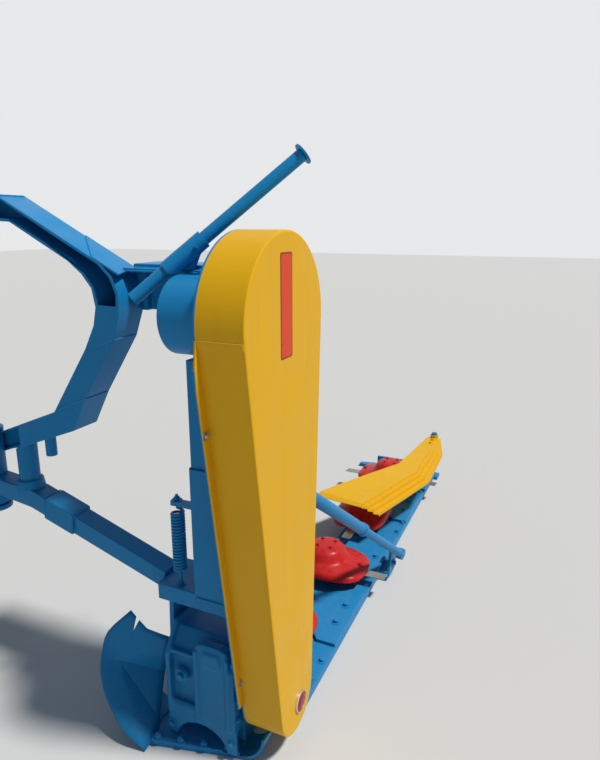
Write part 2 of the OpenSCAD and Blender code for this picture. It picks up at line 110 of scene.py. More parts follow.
def feed(node, values):
    """Sets a node's inputs to numbers or colours, or links them to other nodes' outputs."""
    for name, value in values.items():
        socket = node.inputs[name]
        if hasattr(value, "is_linked"):
            node.id_data.links.new(value, socket)
        elif isinstance(value, (int, float)):
            socket.default_value = value
        else:
            socket.default_value = (*value, 1)


def object_coords(bsdf):
    return add_node(bsdf, "TexCoord").outputs["Object"]


def noise(coords, scale, detail, rough=0.55):
    node = add_node(coords, "TexNoise")
    feed(node, {"Vector": coords, "Scale": scale, "Detail": detail, "Roughness": rough})
    return node.outputs["Fac"]


def ramp(fac, stops):
    """Turns a value into greys or colours, by stops of place and grey or colour."""
    node = add_node(fac, "ValToRGB")
    elements = node.color_ramp.elements
    while len(elements) < len(stops):
        elements.new(0.5)
    for element, (place, value) in zip(elements, stops):
        grey = isinstance(value, (int, float))
        element.position = place
        element.color = (value, value, value, 1) if grey else (*value, 1)
    feed(node, {"Fac": fac})
    return node.outputs["Color"]


def mix(fac, a, b):
    node = add_node(fac, "Mix")
    node.data_type = "RGBA"
    # Inputs 0, 6 and 7 are the share and the two colours, and output 2 is the result's colour
    feed(node, {0: fac, 6: a, 7: b})
    return node.outputs[2]


def maths(operation, value, *others):
    """Joins a value with others, one after the other."""
    for other in others:
        node = add_node(value, "Math")
        node.operation = operation
        feed(node, {0: value, 1: other})
        value = node.outputs[0]
    return value


def bump(height, strength, distance, normal=None):
    node = add_node(height, "Bump")
    feed(node, {"Strength": strength, "Distance": distance, "Height": height})
    if normal:
        feed(node, {"Normal": normal})
    return node.outputs[0]


def split(vector):
    """The three parts of a vector."""
    node = add_node(vector, "SeparateXYZ")
    feed(node, {0: vector})
    return node.outputs


def times(colour, share):
    return tuple(c * share for c in colour)


DUST = (0.27, 0.22, 0.16)
BARE = (0.13, 0.11, 0.10)
# Height up to which dust thins out, and how much is left above it
DUST_H = 0.45
DUST_ABOVE = 0.12
# Streaks are fine across the sheet and long down it
STREAK_SCALE = (26, 26, 2.2)
STREAK_TONE = 0.72
DUST_ROUGH = (0.75, 0.75, 0.75)
PAINT_IOR = 1.24


def paint(name, colour, wear=0.6, dust=0.16, rough=0.34, cast=0.0, dented=0.3, shade=0.9):
    """Sprayed enamel with drifts in tone, runs, dust, chips on its edges, orange peel and dents."""
    mat, bsdf = new_material(name)
    coords = object_coords(bsdf)
    geometry = add_node(bsdf, "NewGeometry").outputs
    drift = ramp(noise(coords, 2.2, 3), [(0.3, 0.0), (0.7, 1.0)])
    tone = mix(drift, times(colour, shade), colour)
    # Thin runs and brush-like streaks down the sheet
    stretch = add_node(bsdf, "Mapping")
    stretch.inputs["Scale"].default_value = STREAK_SCALE
    feed(stretch, {"Vector": coords})
    streak = ramp(noise(stretch.outputs[0], 1.0, 4, 0.6), [(0.56, 0.0), (0.74, 0.16)])
    tone = mix(streak, tone, times(colour, STREAK_TONE))
    # Dust on what faces up and low down
    low = add_node(bsdf, "MapRange")
    feed(low, {"Value": split(coords)["Z"], "From Min": GROUND, "From Max": GROUND + DUST_H,
               "To Min": 1.0, "To Max": DUST_ABOVE})
    up = ramp(split(geometry["Normal"])["Z"], [(0.1, 0.25), (0.9, 1.0)])
    specks = ramp(noise(coords, 34, 9, 0.72), [(0.40, 0.0), (0.68, 1.0)])
    film = maths("MULTIPLY", low.outputs[0], up, specks)
    tone = mix(maths("MULTIPLY", film, dust), tone, DUST)
    # Chips along sharp edges
    worn = ramp(geometry["Pointiness"], [(0.60, 0.0), (0.66, 1.0)])
    chips = ramp(noise(coords, 75, 6, 0.65), [(0.56, 0.0), (0.60, 1.0)])
    tone = mix(maths("MULTIPLY", worn, chips, wear), tone, BARE)
    gloss = ramp(noise(coords, 9, 6, 0.6), [(0.3, rough * 0.75), (0.75, rough * 1.45)])
    gloss = mix(film, gloss, DUST_ROUGH)
    # Orange peel, dents and, on castings, the mould's grain
    surface = bump(noise(coords, 320, 2), 0.06, 0.001)
    surface = bump(noise(coords, 3.2, 2, 0.4), dented, 0.006, surface)
    if cast:
        surface = bump(noise(coords, 190, 5, 0.7), cast, 0.002, surface)
    feed(bsdf, {"Base Color": tone, "Roughness": gloss, "IOR": PAINT_IOR, "Normal": surface})
    return mat


def metal(name, colour, rough=0.4):
    """Bare or plated steel with machining scratches and a dull film."""
    mat, bsdf = new_material(name)
    coords = object_coords(bsdf)
    tone = mix(noise(coords, 30, 5), times(colour, 0.6), colour)
    gloss = ramp(noise(coords, 90, 4), [(0.3, rough * 0.7), (0.7, rough * 1.4)])
    scratches = bump(noise(coords, 400, 3), 0.12, 0.0006)
    feed(bsdf, {"Base Color": tone, "Roughness": gloss, "Metallic": 0.9, "Normal": scratches})
    return mat


def lens_material():
    """Red moulded lens with rows of small prisms."""
    mat, bsdf = new_material("red_lens")
    cells = add_node(bsdf, "TexVoronoi")
    feed(cells, {"Vector": object_coords(bsdf), "Scale": 260})
    depth = cells.outputs["Distance"]
    tone = ramp(depth, [(0.0, (0.50, 0.010, 0.016)), (0.8, (0.16, 0.0, 0.006))])
    prisms = bump(depth, 0.5, 0.0015)
    feed(bsdf, {"Base Color": tone, "Roughness": 0.16, "IOR": 1.35, "Normal": prisms})
    return mat


BLUE_TONE = (0.009, 0.225, 0.510)
YELLOW_TONE = (0.78, 0.425, 0.008)
RED_TONE = (0.55, 0.010, 0.014)
DARK_RED_TONE = (0.34, 0.010, 0.012)
STRIP_TONE = (0.72, 0.060, 0.016)
BORDER_TONE = (0.30, 0.018, 0.012)
BLUE = paint("blue_enamel", BLUE_TONE)
CAST_BLUE = paint("blue_casting", times(BLUE_TONE, 0.92), cast=0.45, dust=0.2)
YELLOW = paint("yellow_enamel", YELLOW_TONE, wear=0.2, dust=0.16, rough=0.38, dented=0.35, shade=0.96)
RED = paint("red_enamel", RED_TONE, rough=0.2, dust=0.22, dented=0.2)
DARK_RED = paint("red_on_bolts", DARK_RED_TONE, wear=0.9, rough=0.4, dented=0)
STRIP_FILM = paint("orange_red_film", STRIP_TONE, wear=0.1, dust=0.1, rough=0.32, dented=0.2)
BORDER_FILM = paint("dark_red_film", BORDER_TONE, wear=0.1, dust=0.1, rough=0.22, dented=0.2)
STEEL = metal("bare_steel", (0.42, 0.41, 0.40))
ZINC = metal("zinc_plate", (0.50, 0.48, 0.44), 0.34)
CHROME = metal("bright_rim", (0.80, 0.80, 0.78), 0.16)
LENS = lens_material()
FINISH = {"blue_paint": BLUE, "yellow_paint": YELLOW, "red_paint": RED, "bare_steel": STEEL,
          "reflector": LENS}

# Mesh helpers: angles below which faces shade as one or count as flat, and above which edges are rounded
SMOOTH_BELOW = 36.0
FLAT_BELOW = 0.6
SHARP_ABOVE = 32.0
# Corners nearer to each other than this are one
MERGE = 0.0002
TOUCH = 1e-6


def finished(name, bm):
    """Turns a mesh in the making into an object."""
    bmesh.ops.recalc_face_normals(bm, faces=bm.faces)
    mesh = bpy.data.meshes.new(name)
    bm.to_mesh(mesh)
    bm.free()
    return new_object(name, mesh)


def on_line(point, a, b):
    """True for a point on the stretch from a to b."""
    return (point - a).length + (point - b).length < (b - a).length + 2e-5


def add_piece(name, bm, body, slot, material=None, weighted=False, creases=(), smooth_below=SMOOTH_BELOW):
    """A piece that rides on a body; creases are pairs of points with a crisp line between them."""
    obj = finished(name, bm)
    mesh = obj.data
    mesh.materials.append(material or FINISH[slot])
    mesh.shade_smooth()
    mesh.set_sharp_from_angle(angle=math.radians(smooth_below))
    for edge in mesh.edges if creases else ():
        ends = [mesh.vertices[i].co for i in edge.vertices]
        edge.use_edge_sharp |= any(all(on_line(p, *line) for p in ends) for line in creases)
    if weighted:
        modifier = obj.modifiers.new("even_faces", "WEIGHTED_NORMAL")
        modifier.keep_sharp = True
    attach(obj, body)
    return obj


def soften(node, width):
    """The node's own form with its sharp edges rounded, as on cut and rolled steel."""
    bm = bmesh.new()
    bm.from_mesh(NODES[node].data)
    bmesh.ops.remove_doubles(bm, verts=bm.verts, dist=MERGE)
    bmesh.ops.dissolve_limit(bm, angle_limit=math.radians(FLAT_BELOW), verts=bm.verts, edges=bm.edges)
    bmesh.ops.triangulate(bm, faces=[f for f in bm.faces if len(f.verts) > 4])
    limit = math.radians(SHARP_ABOVE)
    sharp = [e for e in bm.edges if len(e.link_faces) == 2 and e.calc_face_angle() > limit]
    bmesh.ops.bevel(bm, geom=sharp, offset=width, segments=2, profile=0.6, affect="EDGES",
                    clamp_overlap=False)
    piece = add_piece(node + "_softened", bm, BODY_OF[node], SLOT_OF[node], weighted=True)
    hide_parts(node)
    return piece


def frame_along(direction):
    """Turns +Z to a direction."""
    return Vector(direction).to_track_quat("Z", "Y").to_matrix().to_4x4()


def circle(n):
    """Angles once round, in n steps."""
    return [math.tau * k / n for k in range(n)]


def turned(profile, place, n):
    """Rings of n points for a turned form; place takes the two parts of a radius, and the height."""
    return [[place(r * math.cos(a), r * math.sin(a), h) for a in circle(n)] for r, h in profile]


def add_rings(bm, rings, ends=True):
    """A skin from each ring of points to the next, with a face over both ends."""
    rings = [[bm.verts.new(p) for p in ring] for ring in rings]
    for a, b in zip(rings, rings[1:]):
        for k in range(len(a)):
            j = (k + 1) % len(a)
            bm.faces.new((a[k], b[k], b[j], a[j]))
    if ends:
        bm.faces.new(rings[0])
        bm.faces.new(rings[-1][::-1])


def add_cylinder(bm, place, direction, radius, length, sides=24, top=None):
    """A round or many-sided bar that starts at a place and runs along a direction."""
    move = Matrix.Translation(place) @ frame_along(direction) @ Matrix.Translation((0, 0, length / 2))
    bmesh.ops.create_cone(bm, cap_ends=True, segments=sides, radius1=radius,
                          radius2=radius if top is None else top, depth=length, matrix=move)


# A bolt's forms, as shares of its size across the flats
WASHER_R = 0.98
WASHER_T = 0.12
HEAD_T = 0.50
CHAMFER_T = 0.09
CHAMFER_R = 0.80
STUD_R = 0.28
STUD_END_R = 0.25


def add_bolt(bm, place, direction, size, stud=0.0):
    """A hexagon head of that size across its flats, on a washer, and a stud's end if it has a nut."""
    direction = Vector(direction).normalized()
    corner = size / math.sqrt(3)
    add_cylinder(bm, place, direction, size * WASHER_R, size * WASHER_T, 20)
    place = Vector(place) + direction * size * WASHER_T
    top = place + direction * size * HEAD_T
    add_cylinder(bm, place, direction, corner, size * HEAD_T, 6)
    add_cylinder(bm, top, direction, corner, size * CHAMFER_T, 6, corner * CHAMFER_R)
    if stud:
        add_cylinder(bm, top, direction, size * STUD_R, stud, 14, size * STUD_END_R)


def add_sweep(bm, points, radii, sides=8):
    """A round bar along a line of points, with a radius at each."""
    points = [Vector(p) for p in points]
    side = (points[1] - points[0]).normalized().orthogonal().normalized()
    rings = []
    for i, p in enumerate(points):
        ahead = (points[min(i + 1, len(points) - 1)] - points[max(i - 1, 0)]).normalized()
        side = (side - ahead * side.dot(ahead)).normalized()
        up = ahead.cross(side)
        rings.append([p + (side * math.cos(a) + up * math.sin(a)) * radii[i] for a in circle(sides)])
    add_rings(bm, rings)


WELD_STEP = 0.005
WELD_SIDES = 6


def add_weld(bm, points, size):
    """A weld bead with its ripples, along a line of points."""
    line = []
    points = [Vector(p) for p in points]
    for a, b in zip(points, points[1:]):
        n = max(2, round((b - a).length / WELD_STEP))
        line += [a.lerp(b, i / n) for i in range(n)]
    line.append(points[-1])
    radii = [size * (0.78 + 0.22 * (i % 2) + chance.uniform(-0.1, 0.1)) for i in range(len(line))]
    radii[0] = size * 0.5
    radii[-1] = size * 0.5
    add_sweep(bm, line, radii, WELD_SIDES)


def add_seams(bm, corners, size, short=0.0035):
    """A bead along each side of a line of corners, ending just short of them."""
    corners = [Vector(c) for c in corners]
    for a, b in zip(corners, corners[1:]):
        step = (b - a).normalized() * short
        add_weld(bm, [a + step, b - step], size)


def ring_points(centre, normal, radius, n=40):
    """Points once round a centre, with the first again at the end."""
    turn = frame_along(normal)
    angles = circle(n) + [math.tau]
    return [centre + turn @ Vector((radius * math.cos(a), radius * math.sin(a), 0)) for a in angles]


def add_ring_weld(bm, centre, normal, radius, size, n=40):
    add_weld(bm, ring_points(centre, normal, radius, n), size)


def add_grid(bm, rows, thickness):
    """A sheet through rows of points; its other side lies that far off."""
    def skin(shift):
        verts = [[bm.verts.new(Vector(p) + shift) for p in row] for row in rows]
        for a, b in zip(verts, verts[1:]):
            for i in range(len(a) - 1):
                bm.faces.new((a[i], a[i + 1], b[i + 1], b[i]))
        return [verts[0], [row[-1] for row in verts], verts[-1][::-1], [row[0] for row in verts][::-1]]
    for one, other in zip(skin(Vector()), skin(Vector(thickness))):
        for i in range(len(one) - 1):
            bm.faces.new((one[i], one[i + 1], other[i + 1], other[i]))


def add_prism(bm, outline, axis, low, high):
    """A solid with an outline, given in the two other axes, between two places on an axis."""
    def place(a, b, c):
        return at(c, a, b) if axis == "x" else at(a, c, b)
    add_rings(bm, [[place(a, b, c) for a, b in outline] for c in (low, high)])


def rectangle(a0, a1, b0, b1):
    return [(a0, b0), (a1, b0), (a1, b1), (a0, b1)]


# Bent arm: pairs of places in Y and Z, on the outer and inner edge of its upper limb's open side
ARM_X = (-0.070, 0.030)
ARM_MOUTH = [((1.040, 1.588), (1.040, 1.518)), ((0.885, 1.580), (0.850, 1.508)),
             ((0.700, 1.486), (0.735, 1.450)), ((0.540, 1.404), (0.605, 1.372)),
             ((0.503, 1.370), (0.575, 1.335)), ((0.485, 1.325), (0.567, 1.300)),
             ((0.4865, 1.290), (0.566, 1.291))]
ARM_PLATE = 0.009
ARM_CUT = (-0.004, 0.012)
ARM_EDGE = 0.0025


def make_arm():
    """The bent arm, with the inboard plate of its upper limb cut out so that the inside shows."""
    arm = soften("gooseneck", ARM_EDGE)
    outer_line = []
    inner_line = []
    for outer, inner in ARM_MOUTH:
        outer, inner = Vector(outer), Vector(inner)
        step = (inner - outer).normalized() * ARM_PLATE
        outer_line.append(outer + step)
        inner_line.append(inner - step)
    bm = bmesh.new()
    add_prism(bm, outer_line + inner_line[::-1], "x", ARM_X[0] + ARM_CUT[0], ARM_X[0] + ARM_CUT[1])
    cutter = finished("arm_cut", bm)
    cut = arm.modifiers.new("cut", "BOOLEAN")
    cut.object = cutter
    cut.solver = "EXACT"
    arm.modifiers.move(arm.modifiers.find("cut"), 0)
    even = arm.modifiers["even_faces"]
    even.show_viewport = False
    depsgraph = bpy.context.evaluated_depsgraph_get()
    result = bpy.data.meshes.new_from_object(arm.evaluated_get(depsgraph))
    arm.modifiers.remove(cut)
    arm.data = result
    even.show_viewport = True
    bpy.data.objects.remove(cutter)


# The upper limb's sloping plate: a place on it in Y and Z, its rise, and the way out of it
SLOPE_PLACE = (0.540, 1.404)
SLOPE_RISE = 0.510
SLOPE_OUT = (-0.454, 0.891)
CORNER_PLATE = [(-0.069, 0.563), (0.029, 0.670), (0.029, 0.503), (-0.069, 0.480)]
CORNER_PLATE_T = (-0.0030, 0.0025)
PLATE_EDGE = 0.0008


def slope(x, y, t):
    """A place on the upper limb's sloping plate, raised by t off it."""
    height = SLOPE_PLACE[1] + (y - SLOPE_PLACE[0]) * SLOPE_RISE
    return at(x, y + SLOPE_OUT[0] * t, height + SLOPE_OUT[1] * t)


def make_arm_plate():
    """Plate that runs straight on over the arm's corner to the head."""
    bm = bmesh.new()
    add_rings(bm, [[slope(x, y, t) for x, y in CORNER_PLATE] for t in CORNER_PLATE_T])
    bmesh.ops.recalc_face_normals(bm, faces=bm.faces)
    bmesh.ops.bevel(bm, geom=bm.edges[:], offset=PLATE_EDGE, segments=2, affect="EDGES")
    add_piece("arm_corner_plate", bm, "frame", "blue_paint", weighted=True)


# Belt guard: two rounds, given in X and Z, and their tangents
GUARD_TOP = (-0.055, 1.280)
GUARD_LOW = (0.0, 0.180)
GUARD_R_TOP = 0.210
GUARD_R_LOW = 0.103
GUARD_DEPTH = 0.120
SHEET = 0.003
TOP_STEPS = 56
LOW_STEPS = 36
SIDE_STEPS = 24
# A side of the outline is where it faces left or right by more than this
SIDE_FACING = 0.9
# The guard's folded sheet: how far out of the outline and how far forward of the rear face
GUARD_PROFILE = [(-0.0060, 0.0), (-0.0030, 0.0004), (-0.0008, 0.0018), (0.0, 0.0042), (0.0, GUARD_DEPTH),
                 (-SHEET, GUARD_DEPTH), (-SHEET, 0.0050), (-0.0062, SHEET)]
FLANGE_W = 0.020
FLANGE_LOW = 0.200
FLANGE_TAPER = 0.07
FLANGE_LEAST = 0.002
FLANGE_T = 0.0028
SEAM_Z = 1.262
# Lap of the rim's lower sheet over the upper one
LAP_H = 0.030
LAP_PROFILE = [(0.0, 0.003), (0.0016, 0.004), (0.0016, 0.1165), (0.0, 0.117)]
LAP_T = 0.002


def guard_axis(z):
    """The X of the guard's middle line at a height."""
    dx = GUARD_TOP[0] - GUARD_LOW[0]
    return GUARD_LOW[0] + dx * (z - GUARD_LOW[1]) / (GUARD_TOP[1] - GUARD_LOW[1])


def guard_outline():
    """Points round the guard, each with its outward direction, in X and Z."""
    dx = GUARD_TOP[0] - GUARD_LOW[0]
    dz = GUARD_TOP[1] - GUARD_LOW[1]
    lean = math.atan2(dz, dx)
    swing = math.asin((GUARD_R_TOP - GUARD_R_LOW) / math.hypot(dx, dz))
    first = lean - math.pi / 2 - swing
    last = lean + math.pi / 2 + swing
    top = (GUARD_TOP, GUARD_R_TOP, first, last, TOP_STEPS)
    low = (GUARD_LOW, GUARD_R_LOW, last, first + math.tau, LOW_STEPS)

    def on_round(centre, radius, a):
        return centre[0] + radius * math.cos(a), centre[1] + radius * math.sin(a)
    line = []
    for (centre, radius, a0, a1, n), after in ((top, low), (low, top)):
        for i in range(n + 1):
            a = a0 + (a1 - a0) * i / n
            line.append((on_round(centre, radius, a), (math.cos(a), math.sin(a))))
        # Along the straight side to the next round
        begin = line[-1][0]
        a = after[2]
        end = on_round(after[0], after[1], a)
        for i in range(1, SIDE_STEPS):
            t = i / SIDE_STEPS
            place = tuple(b + (e - b) * t for b, e in zip(begin, end))
            line.append((place, (math.cos(a), math.sin(a))))
    return line


def outline_place(sample, grow, y):
    (x, z), (nx, nz) = sample
    return at(x + nx * grow, y, z + nz * grow)


def make_guard():
    outline = guard_outline()
    bm = bmesh.new()
    add_rings(bm, [[outline_place(s, grow, y) for s in outline] for grow, y in GUARD_PROFILE])
    for side in (-1, 1):
        samples = [s for s in outline if s[1][0] * side >= SIDE_FACING]
        # Flange, tapered to nothing at the seam
        rows = []
        for sample in samples:
            z = sample[0][1]
            if not FLANGE_LOW <= z <= SEAM_Z:
                continue
            reach = max(FLANGE_LEAST, FLANGE_W * min(1.0, (SEAM_Z - z) / FLANGE_TAPER))
            rows.append([outline_place(sample, grow, y) for grow, y in (
                (-0.001, GUARD_DEPTH - SHEET), (reach - 0.002, GUARD_DEPTH - SHEET),
                (reach, GUARD_DEPTH - SHEET * 0.5), (reach, GUARD_DEPTH + 0.0002))])
        add_grid(bm, rows, (0, FLANGE_T, 0))
        lap = [s for s in samples if SEAM_Z - LAP_H <= s[0][1] <= SEAM_Z]
        if len(lap) > 1:
            rows = [[outline_place(s, grow, y) for grow, y in LAP_PROFILE] for s in lap]
            add_grid(bm, rows, (-LAP_T * side, 0, 0))
    guard = add_piece("guard_cover", bm, "frame", "yellow_paint", weighted=True)
    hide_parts("belt_guard")


# Bolts in the flange, in X and Z, on the left; each has its twin on the right
FLANGE_BOLTS = [(-0.246, 1.042), (-0.120, 0.288)]
SEAM_Y = (0.004, 0.116)
SEAM_R = 0.0016


def make_guard_trim():
    bm = bmesh.new()
    for x, z in FLANGE_BOLTS:
        for px in (x, 2 * guard_axis(z) - x):
            add_bolt(bm, at(px, GUARD_DEPTH - SHEET, z), REAR, 0.011, 0.004)
    add_piece("guard_bolts", bm, "frame", "bare_steel", ZINC)
    # Thin weld across the rim at the seam, on both sides
    bm = bmesh.new()
    outline = guard_outline()
    for side in (-1, 1):
        sample = min((s for s in outline if s[1][0] * side > 0), key=lambda s: abs(s[0][1] - SEAM_Z))
        add_weld(bm, [outline_place(sample, 0.0004, y) for y in SEAM_Y], SEAM_R)
    add_piece("guard_seam", bm, "frame", "yellow_paint")


# Blank strip: its left, right, lower and upper side, and the radius of its corners
STRIP = (-0.0945, -0.031, 1.1945, 1.4405)
STRIP_R = 0.006
CORNER_STEPS = 5
# Name, distance in from the border's edge, place of its face, and look
FILMS = [("strip_border", 0.0, -0.0004, BORDER_FILM), ("strip", 0.0035, -0.0008, STRIP_FILM)]


def rounded_box(x0, x1, z0, z1, r):
    """Corners of an upright rectangle with rounded corners, in X and Z."""
    centres = ((x1 - r, z1 - r), (x0 + r, z1 - r), (x0 + r, z0 + r), (x1 - r, z0 + r))
    line = []
    for quarter, (x, z) in enumerate(centres):
        for i in range(CORNER_STEPS + 1):
            a = math.pi / 2 * (quarter + i / CORNER_STEPS)
            line.append((x + r * math.cos(a), z + r * math.sin(a)))
    return line


def make_strip():
    """Blank strip of orange-red film on the rear face, with a dark border."""
    x0, x1, z0, z1 = STRIP
    for name, inset, y, material in FILMS:
        line = rounded_box(x0 + inset, x1 - inset, z0 + inset, z1 - inset, STRIP_R)
        bm = bmesh.new()
        add_rings(bm, [[at(x, depth, z) for x, z in line] for depth in (y, 0.0001)])
        add_piece(name, bm, "frame", "red_paint", material)


# Reflector: its middle in X and Z, and its profiles as radius and Y
REFLECTOR = (0.012, 0.160)
LENS_PROFILE = [(0.0, -0.0100), (0.014, -0.0096), (0.024, -0.0078), (0.0285, -0.0052), (0.0285, -0.0001),
                (0.0, -0.0001)]
RIM_PROFILE = [(0.0285, -0.0048), (0.0290, -0.0066), (0.0312, -0.0060), (0.0320, -0.0030),
               (0.0320, -0.0001), (0.0285, -0.0001), (0.0285, -0.0048)]


def make_reflector():
    def place(u, v, y):
        return at(REFLECTOR[0] + u, y, REFLECTOR[1] + v)
    for name, profile, slot, material in (("reflector_lens", LENS_PROFILE, "reflector", LENS),
                                          ("reflector_rim", RIM_PROFILE, "bare_steel", CHROME)):
        bm = bmesh.new()
        add_rings(bm, turned(profile, place, 48), ends=False)
        bmesh.ops.remove_doubles(bm, verts=bm.verts, dist=TOUCH)
        add_piece(name, bm, "frame", slot, material)
    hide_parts("reflector")


# Balance spring: its middle in X and Y, its coil from bottom to top, and its hooks and eye bolts
SPRING = (-0.062, 0.340)
SPRING_Z = (0.546, 0.727)
SPRING_R = 0.0165
SPRING_WIRE = 0.0041
SPRING_TURNS = 19
TURN_STEPS = 20
LOW_HOOK = [(0, 0, 0.497), (0, 0, 0.528), (0.004, 0.002, 0.538), (0.012, 0.001, 0.543)]
HIGH_HOOK = [(0.012, 0.001, 0.731), (0.004, 0.003, 0.737), (0, 0, 0.745), (0, 0, 0.762)]
SPRING_LUG = (0, -0.0295, 0.754)
SPRING_LUG_SIZE = (0.020, 0.089, 0.014)
SPRING_NUTS = ((0.761, 0.008), (0.500, 0.0))
SPRING_NUT = 0.016


def make_spring():
    bm = bmesh.new()
    centre = at(*SPRING, 0)
    steps = SPRING_TURNS * TURN_STEPS
    coil = []
    for i in range(steps + 1):
        t = i / steps
        a = math.tau * SPRING_TURNS * t
        z = SPRING_Z[0] + (SPRING_Z[1] - SPRING_Z[0]) * t
        coil.append((SPRING_R * math.cos(a), SPRING_R * math.sin(a), z))
    line = [centre + Vector(p) for p in LOW_HOOK + coil + HIGH_HOOK]
    add_sweep(bm, line, [SPRING_WIRE] * len(line))
    # Lug on the upright box, and the eye bolts' nuts
    lug = Matrix.Translation(centre + Vector(SPRING_LUG)) @ Matrix.Diagonal((*SPRING_LUG_SIZE, 1))
    bmesh.ops.create_cube(bm, size=1, matrix=lug)
    for z, stud in SPRING_NUTS:
        add_bolt(bm, centre + Vector((0, 0, z)), UP, SPRING_NUT, stud)
    spring = add_piece("spring_coil", bm, "frame", "blue_paint")
    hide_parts("balance_spring")


# Gearbox casting: outlines across Y are in X and Z, and those across X are in Y and Z
GEAR_X = 0.095
GEAR_Y = (0.142, 0.372)
GEAR_CASE = [(-GEAR_X, 0.125), (GEAR_X, 0.125), (GEAR_X, 0.290), (0.060, 0.360), (-0.060, 0.360),
             (-GEAR_X, 0.310)]
GEAR_FLANGE = [(-0.120, 0.100), (GEAR_X, 0.125), (GEAR_X, 0.300), (0.066, 0.374), (-0.066, 0.374),
               (-0.120, 0.300)]
GEAR_FLANGE_T = 0.016
# Bearing block: a panel between two upright ribs under a rounded head
BLOCK = [(0.155, 0.100), (0.272, 0.100), (0.272, 0.336), (0.262, 0.356), (0.244, 0.364), (0.184, 0.364),
         (0.165, 0.356), (0.155, 0.336)]
BLOCK_X = (-0.117, -0.090)
RIB_YS = (0.155, 0.258)
RIB_W = 0.014
RIB_Z = (0.100, 0.340)
RIB_X = (-0.125, -0.110)
BLOCK_HEAD = [(0.190, 0.296), (0.238, 0.296), (0.246, 0.318), (0.238, 0.342), (0.190, 0.342),
              (0.182, 0.318)]
BLOCK_HEAD_X = (-0.124, -0.110)
LEDGE_ZS = (0.128, 0.300)
LEDGE_T = 0.012
LEDGE_Y = (0.150, 0.366)
LEDGE_X = (-0.113, -0.090)
# Foot: an arched wall in front of the pedestal's core, under a shelf
FOOT_Z = (0.020, 0.132)
SHELF_Z = 0.094
ARCH_Y = 0.257
ARCH_SIZE = (0.083, 0.066)
ARCH_STEPS = 12
FOOT_X = (-0.118, -0.100)
CORE_X = (-0.062, -0.0105)
PLUG = (-0.060, 0.318, 0.238)
PLUG_BOSS_R = 0.021
PLUG_BOSS_L = 0.056
CAST_VOXEL = 0.0040


def make_gearbox():
    """One casting: its forms are joined and rounded where they meet."""
    bm = bmesh.new()
    y0, y1 = GEAR_Y
    z0, z1 = FOOT_Z
    add_prism(bm, GEAR_CASE, "y", y0, y1)
    for y in (y0, y1 - GEAR_FLANGE_T):
        add_prism(bm, GEAR_FLANGE, "y", y, y + GEAR_FLANGE_T)
    add_prism(bm, BLOCK, "x", *BLOCK_X)
    for y in RIB_YS:
        add_prism(bm, rectangle(y, y + RIB_W, *RIB_Z), "x", *RIB_X)
    add_prism(bm, BLOCK_HEAD, "x", *BLOCK_HEAD_X)
    for z in LEDGE_ZS:
        add_prism(bm, rectangle(*LEDGE_Y, z, z + LEDGE_T), "x", *LEDGE_X)
    turns = [math.pi * i / ARCH_STEPS for i in range(ARCH_STEPS + 1)]
    arch = [(ARCH_Y + ARCH_SIZE[0] * math.cos(a), z0 + ARCH_SIZE[1] * math.sin(a)) for a in turns]
    add_prism(bm, [(y1, z0), (y1, z1), (y0, z1), (y0, z0)] + arch[::-1], "x", *FOOT_X)
    add_prism(bm, rectangle(y0, y1, SHELF_Z, z1), "x", FOOT_X[0], CORE_X[1])
    add_prism(bm, rectangle(y0, y1, z0, z1), "x", *CORE_X)
    add_cylinder(bm, at(*PLUG), INBOARD, PLUG_BOSS_R, PLUG_BOSS_L, 32)
    case = add_piece("gearbox_casting", bm, "bar", "blue_paint", CAST_BLUE)
    skin = case.modifiers.new("one_skin", "REMESH")
    skin.mode = "VOXEL"
    skin.voxel_size = CAST_VOXEL
    skin.use_smooth_shade = True
    rounding = case.modifiers.new("rounding", "SMOOTH")
    rounding.factor = 0.5
    rounding.iterations = 5
    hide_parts("gearbox")


# Discs and knives
DISCS = 4
DISC_X0 = 0.318
DISC_PITCH = 0.500
DISC_Y = 0.235
DISC_Z = 0.102
DISC_R = 0.180
DISC_HALF = 0.130
# Between an ellipse, which has 2 here, and a rectangle
DISC_SQUARENESS = 3.2
DISC_SIDES = 96
# The cap by radius and height, and the skirt by share of the way from its foot to the rim and height
CAP = [(0.030, 0.0940), (0.052, 0.0915), (0.066, 0.0860), (0.076, 0.0770), (0.084, 0.064), (0.091, 0.052),
       (0.099, 0.0430), (0.108, 0.0390)]
CAP_FOOT_R = 0.110
SKIRT = [(0.04, 0.0375), (0.15, 0.0335), (0.35, 0.0305), (0.6, 0.0265), (0.8, 0.0205), (0.93, 0.0130),
         (0.985, 0.0060), (1.0, 0.0015), (0.985, 0.0), (0.9, 0.0012), (0.6, 0.006)]
CAP_SCREW = 0.010
CAP_SCREW_R = 0.040
CAP_SCREW_Z = 0.0920
KNIFE_BOLT = 0.018
KNIFE_BOLT_R = 0.150
KNIFE_BOLT_Z = 0.0205


def disc_x(i):
    """The X of a disc's axis, counted from 0; a half lies between two discs."""
    return DISC_X0 + i * DISC_PITCH


def disc_reach(a):
    """How far the disc's rim reaches in a direction: an oval between its round ends and flat sides."""
    c = abs(math.cos(a)) / DISC_R
    s = abs(math.sin(a)) / DISC_HALF
    return (c ** DISC_SQUARENESS + s ** DISC_SQUARENESS) ** (-1 / DISC_SQUARENESS)


